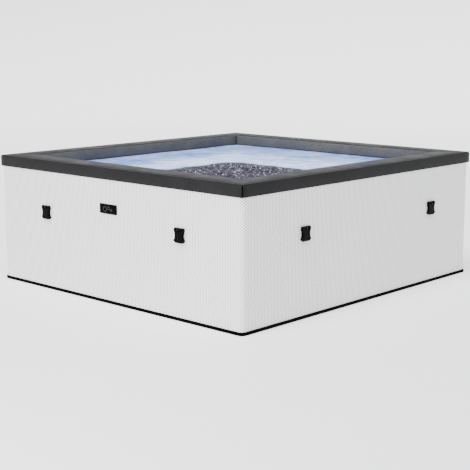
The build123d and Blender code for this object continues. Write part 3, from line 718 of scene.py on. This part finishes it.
class HOTTUB_OT_cladding(bpy.types.Operator):
    """Build the woven cladding: a loop of cloth whose strands cross over and under the ribs"""
    bl_idname = "hottub.cladding"
    bl_label = "Woven cladding"

    # Corner radius, thickness of the cloth and height of its flat sewn hems
    radius, thickness, hem = 22.5 * MM, 2.0 * MM, 12 * MM
    # Hole radius in the cloth round each fitting that passes through it
    holes = {"suction_port": 30.5 * MM, "return_port": 30.5 * MM,
             "air_port": 21.5 * MM, "drain_valve": 17.5 * MM}
    # Length of the cutters, well past both faces of the cloth
    cutter_length = 20 * MM

    def execute(self, context):
        settings = context.scene.hot_tub_cladding
        low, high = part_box("outer_wrap")
        loop = WeaveLoop((high.x, high.y), self.radius, settings.rib)
        piece = new_box("woven_cladding", (low + high) / 2, high - low)
        bpy.ops.object.mode_set(mode="EDIT")
        choose(piece, "FACE", lambda face: abs(face.normal.z) > 0.9)
        bpy.ops.mesh.delete(type="ONLY_FACE")
        choose(piece, "EDGE", lambda edge: edge_way(edge).z > 0.9)
        bpy.ops.mesh.bevel(offset=self.radius, segments=loop.corner)
        for axis, count in enumerate(loop.counts):
            half_side = loop.straight[axis]
            along = lambda edge: edge_way(edge)[axis] > 0.999 and edge.calc_length() > 0.9 * half_side
            divide(piece, along, 1)
            divide(piece, along, count // 2 - 1)
        rows = 2 * round((high.z - low.z) / settings.strand / 2)
        divide(piece, lambda edge: edge_way(edge).z > 0.9, rows - 1)
        strand = (high.z - low.z) / rows
        self.mark_weave(piece, loop, low.z, strand)
        self.weave(piece, loop, (low.z, high.z), strand, settings.relief)
        self.close_back(piece)
        bpy.ops.object.mode_set(mode="OBJECT")
        self.cut_ports(piece)
        shade(piece, 60)
        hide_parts("outer_wrap")
        finish_piece(piece, ROOT, woven_pvc(settings))
        return {"FINISHED"}

    def mark_weave(self, piece, loop, base, strand):
        """UV map that counts columns round the loop and strands up it."""
        mesh = bmesh.from_edit_mesh(piece.data)
        layer = mesh.loops.layers.uv.new("weave")
        for face in mesh.faces:
            columns = [loop.column(corner.vert.co.x, corner.vert.co.y) for corner in face.loops]
            for corner, column in zip(face.loops, columns):
                if max(columns) - column > loop.total / 2:
                    column += loop.total
                corner[layer].uv = (column, (corner.vert.co.z - base) / strand)
        bmesh.update_edit_mesh(piece.data)

    def weave(self, piece, loop, ends, strand, relief):
        """Move each crossing out or in by turns, and leave the sewn hems flat."""
        def shift(vertex):
            count = round(loop.column(vertex.co.x, vertex.co.y)) + round((vertex.co.z - ends[0]) / strand)
            from_end = min(vertex.co.z - ends[0], ends[1] - vertex.co.z)
            height = relief * smooth_step(from_end / self.hem) * (0.5 if count % 2 == 0 else -0.5)
            outward = Vector((vertex.normal.x, vertex.normal.y, 0)).normalized()
            return outward * (height - 0.5 * relief)
        move_points(piece, shift)

    def close_back(self, piece):
        """Turn both open edges in and join them behind the cloth."""
        boundary = lambda edge: edge.is_boundary
        choose(piece, "EDGE", boundary)
        bpy.ops.mesh.extrude_region_move()
        mesh = bmesh.from_edit_mesh(piece.data)
        outward = {vertex: Vector((vertex.normal.x, vertex.normal.y, 0)).normalized()
                   for vertex in mesh.verts if vertex.select}
        for vertex, way in outward.items():
            near = Vector((vertex.co.x, vertex.co.y, 0))
            vertex.co -= (way if way.length else near.normalized()) * self.thickness
        bmesh.update_edit_mesh(piece.data)
        choose(piece, "EDGE", boundary)
        bpy.ops.mesh.bridge_edge_loops()
        bpy.ops.mesh.select_all(action="SELECT")
        bpy.ops.mesh.normals_make_consistent(inside=False)

    def cut_ports(self, piece):
        """Cut a round hole for each fitting, which its lock nut covers."""
        cutters = []
        for name, radius in self.holes.items():
            low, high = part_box(name)
            place = ((low.x + high.x) / 2, piece.bound_box[6][1], (low.z + high.z) / 2)
            clear_selection()
            bpy.ops.mesh.primitive_cylinder_add(vertices=48, radius=radius, depth=self.cutter_length,
                                                location=place, rotation=(math.pi / 2, 0, 0))
            bpy.ops.object.transform_apply(location=True, rotation=True, scale=True)
            cutters.append(bpy.context.object)
        cutter = joined(cutters, "port_cutters")
        apply_modifier(piece, "BOOLEAN", object=cutter, operation="DIFFERENCE", solver="MANIFOLD")
        bpy.data.objects.remove(cutter)


# ---------------------------------------------------------------- rim

class HOTTUB_OT_rim(bpy.types.Operator):
    """Build the four padded bars of the rim, mitred, seamed and crowned"""
    bl_idname = "hottub.rim"
    bl_label = "Padded rim"

    # Half width and depth of a seam's groove, and the length over which the padding fades towards a mitre
    groove, sink, fade = 2.4 * MM, 1.4 * MM, 50 * MM
    # Tolerance for finding the flat faces again
    near_enough = 0.1 * MM
    # Cuts along a bar, across its top and up its faces
    cuts_along, cuts_across, cuts_up = 71, 15, 9
    # Stitches: distance outside their seam, clearance from the mitre, width, height and drop of the ends
    stitch_gap, stitch_end = 4.5 * MM, 8 * MM
    thread_width, thread_height, thread_drop = 1.3 * MM, 1.1 * MM, 0.6 * MM

    def execute(self, context):
        settings = context.scene.hot_tub_rim
        outside = leatherette("rim_leatherette", tuple(settings.colour),
                              linear("#121213"), linear("#262627"))
        # Painted light: a lighter copy of the rim's cloth for the faces towards the water, standing for the
        # light on them
        inside = leatherette("rim_inner_painted_light", tuple(settings.inner_painted_light), linear("#42413F"), linear("#5E5D5C"))
        thread = webbing("rim_thread", "#3C3C3D", 0.6 * MM)
        for side, turn in SIDES.items():
            piece = self.bar(side, settings)
            stitches = self.stitches(side, settings)
            for made in (piece, stitches):
                made.data.transform(Matrix.Rotation(math.radians(turn), 4, "Z"))
            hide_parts(f"rim_cover_{side}")
            finish_piece(piece, ROOT, outside)
            piece.data.materials.append(inside)
            inward = Matrix.Rotation(math.radians(turn), 3, "Z") @ Vector((0, 1, 0))
            # Painted light: faces that point towards the water get the lighter copy
            for face in piece.data.polygons:
                face.material_index = int(face.normal.dot(inward) > 0.75)
            finish_piece(stitches, ROOT, thread)
        return {"FINISHED"}

    def sizes(self, side):
        """Half length and outer distance of a bar, its width, and its two levels."""
        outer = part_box("rim_cover_right")[1].x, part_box("rim_cover_back")[1].y
        along, across = outer if side in ("front", "back") else outer[::-1]
        low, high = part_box("rim_cover_front")
        return along, across, high.y - low.y, low.z, high.z

    def bar(self, side, settings):
        """One bar, made as the front one is, before it is turned to its side."""
        along, across, width, low, high = self.sizes(side)
        middle = (0, -across + width / 2, (low + high) / 2)
        piece = new_box(f"rim_{side}", middle, (2 * along, width, high - low))
        bpy.ops.object.mode_set(mode="EDIT")
        for sign in (-1, 1):
            slice_at((sign * along, -across, 0), (sign, 1, 0), clear=True)
            slice_at((sign * (along - CORD_INSET), CORD_INSET - across, 0), (sign, -1, 0), clear=True)
        is_long = lambda edge: edge_way(edge).x > 0.999
        choose(piece, "EDGE", is_long)
        bpy.ops.mesh.bevel(offset=settings.edge, segments=6)
        seams = (-across + settings.seam, -across + width - settings.seam)
        for seam in seams:
            slice_at((0, seam, 0), (0, 1, 0))
        on_top = lambda edge: edge_middle(edge).z > high - self.near_enough
        choose(piece, "EDGE", lambda edge: is_long(edge) and on_top(edge)
               and min(abs(edge_middle(edge).y - seam) for seam in seams) < self.near_enough)
        bpy.ops.mesh.bevel(offset=self.groove, segments=6)
        divide(piece, lambda edge: is_long(edge) and edge.calc_length() > 1.0, self.cuts_along)
        divide(piece, lambda edge: on_top(edge) and edge.calc_length() > 0.09 and not is_long(edge),
               self.cuts_across)
        divide(piece, lambda edge: edge_way(edge).z > 0.99 and edge.calc_length() > 0.03, self.cuts_up)
        self.pad(piece, settings, seams, (along, across, width, low, high))
        bpy.ops.object.mode_set(mode="OBJECT")
        shade(piece, 50)
        return piece

    def pad(self, piece, settings, seams, sizes):
        """Push the foam out between the seams, and sink the seams."""
        along, across, width, low, high = sizes

        def shift(vertex):
            x, y, z = vertex.co
            to_mitre = along - abs(x) - (y + across)
            hold = smooth_step(to_mitre / self.fade)
            uneven = 1 + 0.12 * math.sin(x * 9.1 + across) + 0.08 * math.sin(x * 23.0 + 2 * y)
            move = Vector((0, 0, 0))
            if z > high - self.near_enough:
                part = (y - seams[0]) / (seams[1] - seams[0])
                if 0 < part < 1:
                    move.z += settings.crown * hold * uneven * math.sin(math.pi * part) ** 0.6
                near = min(abs(y - seam) for seam in seams)
                move.z -= self.sink * (1 - smooth_step(near / self.groove))
            part = (z - low - settings.edge) / (high - low - 2 * settings.edge)
            if 0 < part < 1:
                push = settings.bulge * hold * uneven * math.sin(math.pi * part) ** 0.7
                if y < -across + self.near_enough:
                    move.y -= push
                if y > -across + width - self.near_enough:
                    move.y += push
            return move
        move_points(piece, shift)

    def stitches(self, side, settings):
        """A row of stitches on the outer side of each seam, one modelled and the rest repeated."""
        along, across, width, _, high = self.sizes(side)
        rows = []
        for inset in (settings.seam - self.stitch_gap, width - settings.seam + self.stitch_gap):
            reach = along - inset - self.stitch_end
            count = int(2 * reach / settings.stitch)
            start = (-reach + settings.stitch / 2, -across + inset, high + self.thread_height / 2)
            size = (0.65 * settings.stitch, self.thread_width, self.thread_height)
            stitch = new_box(f"rim_stitches_{side}", start, size)
            bpy.ops.object.mode_set(mode="EDIT")
            bpy.ops.mesh.select_all(action="SELECT")
            bpy.ops.mesh.bevel(offset=0.4 * MM, segments=1)
            choose(stitch, "VERT", lambda vertex: abs(vertex.co.x - start[0]) > 0.25 * settings.stitch)
            bpy.ops.transform.translate(value=(0, 0, -self.thread_drop))
            bpy.ops.object.mode_set(mode="OBJECT")
            apply_modifier(stitch, "ARRAY", count=count, use_relative_offset=False,
                           use_constant_offset=True, constant_offset_displace=(2 * reach / count, 0, 0))
            rows.append(stitch)
        stitches = joined(rows, f"rim_stitches_{side}")
        shade(stitches, 80)
        return stitches


# ---------------------------------------------------------------- water

class HOTTUB_OT_water(bpy.types.Operator):
    """Build the water's surface with its stirred patch, and the bubbles on it"""
    bl_idname = "hottub.water"
    bl_label = "Water"

    # Middle and half size of the stirred patch along X and Y
    patch = ((0.19, 0.30), (-0.22, 0.285))
    # How far the water reaches in under the rim
    tuck = 6 * MM
    # Still water's squares along X and Y
    squares = (150, 158)
    # Smallest and largest radius of a bubble, and the seed of their places
    bubble_sizes, seed = (1.6, 5.0), 7

    def execute(self, context):
        settings = context.scene.hot_tub_water
        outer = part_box("rim_core_right")[0].x + self.tuck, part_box("rim_core_back")[0].y + self.tuck
        piece = self.surface(settings, outer)
        finish_piece(piece, ROOT, spa_water(settings, self.patch))
        froth = self.froth(settings)
        finish_piece(froth, ROOT, bubble_film())
        return {"FINISHED"}

    def stir(self, x, y):
        """How strongly the air stirs the water at a place, from 0 to 1."""
        reach = [abs(place - middle) / half for place, (middle, half) in zip((x, y), self.patch)]
        away = sum(part ** SQUARENESS for part in reach) ** (1 / SQUARENESS)
        away += 0.10 * math.sin(x * 19 + 1.3) * math.sin(y * 23 + 0.4)
        return 1 - smooth_step((away - 0.72) / 0.3)

    def surface(self, settings, half):
        """Layer of water with ripples, lumps where it is stirred, and a flat underside."""
        clear_selection()
        bpy.ops.mesh.primitive_grid_add(x_subdivisions=self.squares[0], y_subdivisions=self.squares[1],
                                        size=2, location=(0, 0, settings.level))
        piece = bpy.context.object
        piece.name = piece.data.name = "water"
        bpy.ops.transform.resize(value=(*half, 1))
        bpy.ops.object.transform_apply(location=True, rotation=True, scale=True)
        bpy.ops.object.mode_set(mode="EDIT")
        choose(piece, "FACE", lambda face: self.stir(*face.calc_center_median().xy) > 0.01)
        bpy.ops.mesh.subdivide(number_cuts=2)
        bpy.ops.object.mode_set(mode="OBJECT")
        group = piece.vertex_groups.new(name="stirred")
        for vertex in piece.data.vertices:
            group.add([vertex.index], self.stir(vertex.co.x, vertex.co.y), "REPLACE")
        for name, kind, size, strength, where in (
            ("ripple", "CLOUDS", 0.16, settings.ripple, ""),
            ("chop", "CLOUDS", 0.05, settings.ripple * 0.6, ""),
            ("swell", "CLOUDS", 0.12, settings.churn, "stirred"),
            ("boil", "VORONOI", 0.045, -settings.churn, "stirred"),
            ("fizz", "VORONOI", 0.016, -settings.churn * 0.35, "stirred"),
        ):
            texture = bpy.data.textures.new(name, kind)
            texture.noise_scale = size
            apply_modifier(piece, "DISPLACE", texture=texture, strength=strength, mid_level=0.45,
                           vertex_group=where, direction="Z", texture_coords="LOCAL")
        bpy.ops.object.mode_set(mode="EDIT")
        choose(piece, "EDGE", lambda edge: edge.is_boundary)
        bpy.ops.mesh.extrude_region_move(TRANSFORM_OT_translate={"value": (0, 0, -settings.depth)})
        bpy.ops.mesh.edge_face_add()
        bpy.ops.mesh.select_all(action="SELECT")
        bpy.ops.mesh.normals_make_consistent(inside=False)
        bpy.ops.object.mode_set(mode="OBJECT")
        shade(piece, 60)
        return piece

    def froth(self, settings):
        """Bubbles of several sizes that ride high on the stirred patch."""
        draw = random.Random(self.seed)
        water = bpy.data.objects["water"]
        clear_selection()
        bpy.ops.mesh.primitive_ico_sphere_add(subdivisions=2, radius=1)
        first = bpy.context.object
        bpy.ops.object.mode_set(mode="EDIT")
        choose(first, "VERT", lambda vertex: vertex.co.z < -0.3)
        bpy.ops.transform.resize(value=(1.15, 1.15, 0.4))
        bpy.ops.object.mode_set(mode="OBJECT")
        bubbles = []
        while len(bubbles) < settings.bubbles:
            spot = [middle + draw.uniform(-1, 1) * half for middle, half in self.patch]
            if self.stir(*spot) < 0.5:
                continue
            radius = draw.uniform(*self.bubble_sizes) * MM
            found, place, _, _ = water.ray_cast(Vector((*spot, 1.0)), Vector((0, 0, -1)))
            if not found:
                raise RuntimeError("a bubble missed the water")
            matrix = Matrix.Translation(place + Vector((0, 0, 0.2 * radius))) @ Matrix.Scale(radius, 4)
            bubbles.append(turned_copy(first, "bubble", matrix))
        bpy.data.objects.remove(first)
        froth = joined(bubbles, "water_bubbles")
        shade(froth, 80)
        return froth


# ---------------------------------------------------------------- small trim

class HOTTUB_OT_buckle_grips(bpy.types.Operator):
    """Build the raised finger grip on the front of each buckle"""
    bl_idname = "hottub.buckle_grips"
    bl_label = "Buckle grips"

    # Pad's side, thickness and drop below the buckle's middle, and its hollow's border and depth
    pad_side, pad_depth, pad_drop = 34 * MM, 1.6 * MM, 13 * MM
    border, hollow = 2.2 * MM, 0.9 * MM
    # Ribs' size, how far they stand out, and the heights of their middles
    rib_size, rib_out = (18 * MM, 1.8 * MM, 2.4 * MM), 0.2 * MM
    rib_heights = (-20 * MM, -13 * MM, -6 * MM)

    def execute(self, context):
        material = moulded("grip_nylon", "#040404", 0.45, gloss=0.06)
        low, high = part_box("buckle_front_left")
        first = self.grip()
        for name in BUCKLES:
            side = name.split("_")[1]
            box_low, box_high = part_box(name)
            centre = (box_low + box_high) / 2
            turn = Matrix.Rotation(math.radians(SIDES[side]), 4, "Z")
            outward = turn @ Vector((0, -1, 0))
            face = centre + outward * (high.y - low.y) / 2
            grip = turned_copy(first, f"grip_{name}", Matrix.Translation(face) @ turn)
            finish_piece(grip, name, material)
        bpy.data.objects.remove(first)
        return {"FINISHED"}

    def grip(self):
        """Pad with three ribs, made at the origin facing -Y."""
        pad = new_box("grip", (0, 0, -self.pad_drop), (self.pad_side, self.pad_depth, self.pad_side))
        bpy.ops.object.mode_set(mode="EDIT")
        choose(pad, "VERT", lambda vertex: vertex.co.z > 0)
        bpy.ops.transform.resize(value=(0.75, 1, 1))
        choose(pad, "EDGE", lambda edge: edge_way(edge).y > 0.9)
        bpy.ops.mesh.bevel(offset=4 * MM, segments=3)
        choose(pad, "FACE", lambda face: face.normal.y < -0.9)
        bpy.ops.mesh.inset(thickness=self.border)
        bpy.ops.transform.translate(value=(0, self.hollow, 0))
        bpy.ops.object.mode_set(mode="OBJECT")
        parts = [pad]
        for height in self.rib_heights:
            parts.append(new_box("rib", (0, -self.rib_out, height), self.rib_size))
        grip = joined(parts, "grip")
        apply_modifier(grip, "BEVEL", width=0.35 * MM, segments=2)
        shade(grip, 40)
        return grip


class HOTTUB_OT_badge(bpy.types.Operator):
    """Build the raised border of the badge"""
    bl_idname = "hottub.badge"
    bl_label = "Badge border"

    # How much smaller than the plate it is, its thickness, and its hollow's border and depth
    smaller, thickness = 6 * MM, 1.6 * MM
    border, hollow = 1.8 * MM, 0.85 * MM

    def execute(self, context):
        low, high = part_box("badge_plate")
        size = high - low
        middle = Vector(((low.x + high.x) / 2, low.y, (low.z + high.z) / 2))
        piece = new_box("badge_border", middle,
                        (size.x - self.smaller, self.thickness, size.z - self.smaller))
        bpy.ops.object.mode_set(mode="EDIT")
        choose(piece, "EDGE", lambda edge: edge_way(edge).y > 0.9)
        bpy.ops.mesh.bevel(offset=4 * MM, segments=4)
        choose(piece, "FACE", lambda face: face.normal.y < -0.9)
        bpy.ops.mesh.inset(thickness=self.border)
        bpy.ops.transform.translate(value=(0, self.hollow, 0))
        bpy.ops.object.mode_set(mode="OBJECT")
        apply_modifier(piece, "BEVEL", width=0.25 * MM, segments=2)
        shade(piece, 40)
        finish_piece(piece, ROOT, moulded("badge_border_rubber", "#060607", 0.5, gloss=0.08))
        return {"FINISHED"}


# ---------------------------------------------------------------- stage

class HOTTUB_OT_stage(bpy.types.Operator):
    """Build the studio: floor, lights and camera"""
    bl_idname = "hottub.stage"
    bl_label = "Stage"

    # Floor's radius, the height of the backdrop behind it and the radius of the curve between them
    floor_radius, backdrop, curve = 14, 9, 3.5
    # Direction of the wide soft light, its softness in degrees and its strength
    sun_way, sun_softness, sun_power = Vector((0.65, -2.2, 4.6)), 50, 6.5
    # Corner lamp: its place, the point it looks at, its side and its power
    lamp_place, lamp_target = Vector((1.3, -4.2, 1.3)), Vector((0.7, -0.8, 0.4))
    lamp_side, lamp_power = 1.8, 80
    # Point that the camera looks at
    camera_target = Vector((-0.01305, -0.01214, 0.22734))

    def execute(self, context):
        settings = context.scene.hot_tub_stage
        clear_selection()
        bpy.ops.mesh.primitive_circle_add(vertices=96, radius=self.floor_radius, fill_type="NGON")
        floor = bpy.context.object
        floor.name = floor.data.name = "studio_floor"
        bpy.ops.object.mode_set(mode="EDIT")
        away = Vector((-math.sin(settings.azimuth), math.cos(settings.azimuth), 0))
        behind = lambda edge: edge.is_boundary and edge_middle(edge).normalized().dot(away) > 0.2
        choose(floor, "EDGE", behind)
        bpy.ops.mesh.extrude_region_move(TRANSFORM_OT_translate={"value": (0, 0, self.backdrop)})
        choose(floor, "EDGE", lambda edge: edge_middle(edge).z < 0.1 and not edge.is_boundary)
        bpy.ops.mesh.bevel(offset=self.curve, segments=16)
        bpy.ops.object.mode_set(mode="OBJECT")
        shade(floor, 60)
        floor.data.materials.append(studio_paper(settings))
        self.sun(self.sun_way, self.sun_softness, self.sun_power)
        self.lamp("corner", self.lamp_place, self.lamp_target, self.lamp_side, self.lamp_power)
        world = context.scene.world or bpy.data.worlds.new("studio")
        context.scene.world = world
        world.use_nodes = True
        world.node_tree.nodes.clear()
        sky = node(world.node_tree, "ShaderNodeBackground", {"Color": linear("#F6F8FC"), "Strength": 0.9})[0]
        node(world.node_tree, "ShaderNodeOutputWorld", {"Surface": sky})
        self.camera(context, settings)
        return {"FINISHED"}

    def sun(self, way, softness, power):
        """Wide soft light from one side that lights the whole floor evenly."""
        bpy.ops.object.light_add(type="SUN", location=way)
        sun = bpy.context.object
        sun.name = sun.data.name = "overhead"
        sun.data.angle = math.radians(softness)
        sun.data.energy = power
        sun.rotation_euler = (-way).to_track_quat("-Z", "Y").to_euler()

    def lamp(self, name, place, target, size, power):
        """Square soft light that looks at a point."""
        bpy.ops.object.light_add(type="AREA", location=place)
        lamp = bpy.context.object
        lamp.name = lamp.data.name = name
        lamp.data.shape = "SQUARE"
        lamp.data.size = size
        lamp.data.energy = power
        lamp.rotation_euler = (target - place).to_track_quat("-Z", "Y").to_euler()

    def camera(self, context, settings):
        """Camera on a line from the point it looks at."""
        level = math.cos(settings.elevation)
        way = Vector((math.sin(settings.azimuth) * level, -math.cos(settings.azimuth) * level,
                      math.sin(settings.elevation)))
        bpy.ops.object.camera_add(location=self.camera_target + way * settings.distance)
        camera = bpy.context.object
        camera.data.lens = settings.lens
        camera.data.sensor_width = 36
        camera.rotation_euler = (-way).to_track_quat("-Z", "Y").to_euler()
        context.scene.camera = camera


class HOTTUB_PT_panel(bpy.types.Panel):
    """Hot tub builder"""
    bl_idname = "HOTTUB_PT_panel"
    bl_label = "Hot tub"
    bl_space_type = "VIEW_3D"
    bl_region_type = "UI"
    bl_category = "Hot tub"

    def draw(self, context):
        for operator in OPERATORS:
            self.layout.operator(operator.bl_idname)
        for name in SETTINGS:
            group = getattr(context.scene, name)
            box = self.layout.box()
            box.label(text=name.replace("hot_tub_", "").title())
            for prop in group.bl_rna.properties.keys():
                if prop not in ("rna_type", "name"):
                    box.prop(group, prop)


OPERATORS = (HOTTUB_OT_cad_finish, HOTTUB_OT_soft_trim, HOTTUB_OT_liner, HOTTUB_OT_cladding,
             HOTTUB_OT_rim, HOTTUB_OT_water, HOTTUB_OT_buckle_grips, HOTTUB_OT_badge, HOTTUB_OT_stage)
SETTINGS = {"hot_tub_cladding": CladdingSettings, "hot_tub_rim": RimSettings,
            "hot_tub_water": WaterSettings, "hot_tub_stage": StageSettings}


def register():
    """Register the settings, operators and panel."""
    for kind in (*SETTINGS.values(), *OPERATORS, HOTTUB_PT_panel):
        bpy.utils.register_class(kind)
    for name, kind in SETTINGS.items():
        setattr(bpy.types.Scene, name, PointerProperty(type=kind))


def unregister():
    """Take everything out again."""
    for name in SETTINGS:
        delattr(bpy.types.Scene, name)
    for kind in (*SETTINGS.values(), *OPERATORS, HOTTUB_PT_panel):
        bpy.utils.unregister_class(kind)


def main():
    """Build everything in order."""
    register()
    bpy.ops.hottub.cad_finish()
    bpy.ops.hottub.soft_trim()
    bpy.ops.hottub.liner()
    bpy.ops.hottub.cladding()
    bpy.ops.hottub.rim()
    bpy.ops.hottub.water()
    bpy.ops.hottub.buckle_grips()
    bpy.ops.hottub.badge()
    bpy.ops.hottub.stage()


if __name__ == "__main__":
    main()
